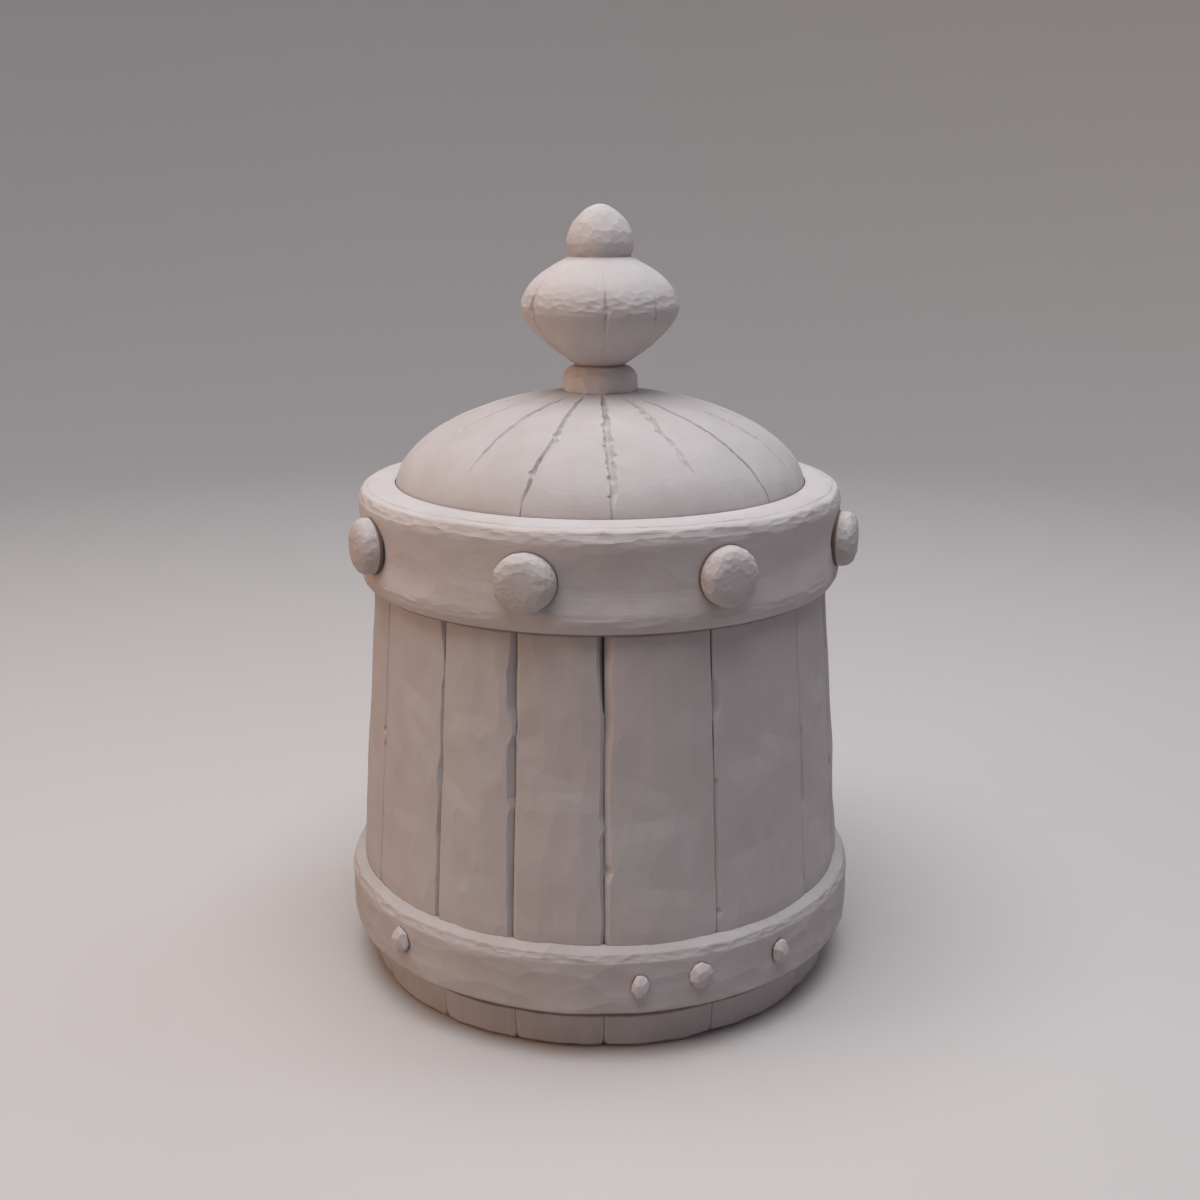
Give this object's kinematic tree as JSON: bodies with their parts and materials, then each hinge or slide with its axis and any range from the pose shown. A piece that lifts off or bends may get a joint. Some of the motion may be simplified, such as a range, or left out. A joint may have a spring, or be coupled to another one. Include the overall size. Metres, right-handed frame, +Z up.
{
  "type": "lidded canister",
  "caption": "Coopered round canister with a studded rim ring, a nailed lower hoop and a grooved dome lid that lifts off by its turned finial.",
  "frame": {"origin": "on the floor under the centre of the foot", "axes": "+Z up along the canister's axis and the lid's lift, -Y the front"},
  "size_m": [0.1626, 0.1678, 0.2363],
  "materials": {
    "stave_wood": "matte pale limewash over shaved wood",
    "floor_wood": "bare matte wood",
    "rim_wood": "matte pale limewash over turned wood",
    "hoop_wood": "matte pale limewash over bent wood",
    "stud_wood": "matte pale limewash over hewn pegs",
    "nail_iron": "forged heads under the same matte pale limewash",
    "lid_wood": "matte pale limewash over carved wood",
    "finial_wood": "matte pale limewash over turned wood",
    "rod_iron": "dark plain iron"
  },
  "bodies": {
    "canister": {"stave_01": "stave_wood", "stave_02": "stave_wood", "stave_03": "stave_wood", "stave_04": "stave_wood", "stave_05": "stave_wood", "stave_06": "stave_wood", "stave_07": "stave_wood", "stave_08": "stave_wood", "stave_09": "stave_wood", "stave_10": "stave_wood", "stave_11": "stave_wood", "stave_12": "stave_wood", "stave_13": "stave_wood", "stave_14": "stave_wood", "stave_15": "stave_wood", "stave_16": "stave_wood", "floor_board": "floor_wood", "rim_ring": "rim_wood", "rim_stud_01": "stud_wood", "rim_stud_02": "stud_wood", "rim_stud_03": "stud_wood", "rim_stud_04": "stud_wood", "rim_stud_05": "stud_wood", "rim_stud_06": "stud_wood", "rim_stud_07": "stud_wood", "rim_stud_08": "stud_wood", "lower_hoop": "hoop_wood", "hoop_nail_01": "nail_iron", "hoop_nail_02": "nail_iron", "hoop_nail_03": "nail_iron", "hoop_nail_04": "nail_iron", "hoop_nail_05": "nail_iron", "hoop_nail_06": "nail_iron", "hoop_nail_07": "nail_iron", "hoop_nail_08": "nail_iron", "hoop_nail_09": "nail_iron"},
    "lid": {"lid_dome": "lid_wood", "lid_locating_ring": "lid_wood", "finial_collar": "finial_wood", "finial_bulb": "finial_wood", "finial_ball": "finial_wood", "finial_rod": "rod_iron", "rod_washer": "rod_iron", "rod_nut": "rod_iron"}
  },
  "joints": [
    {"name": "lid_lift", "type": "slide", "parent": "canister", "child": "lid", "axis": [0, 0, 1], "range_m": [0, 0.12]}
  ]
}
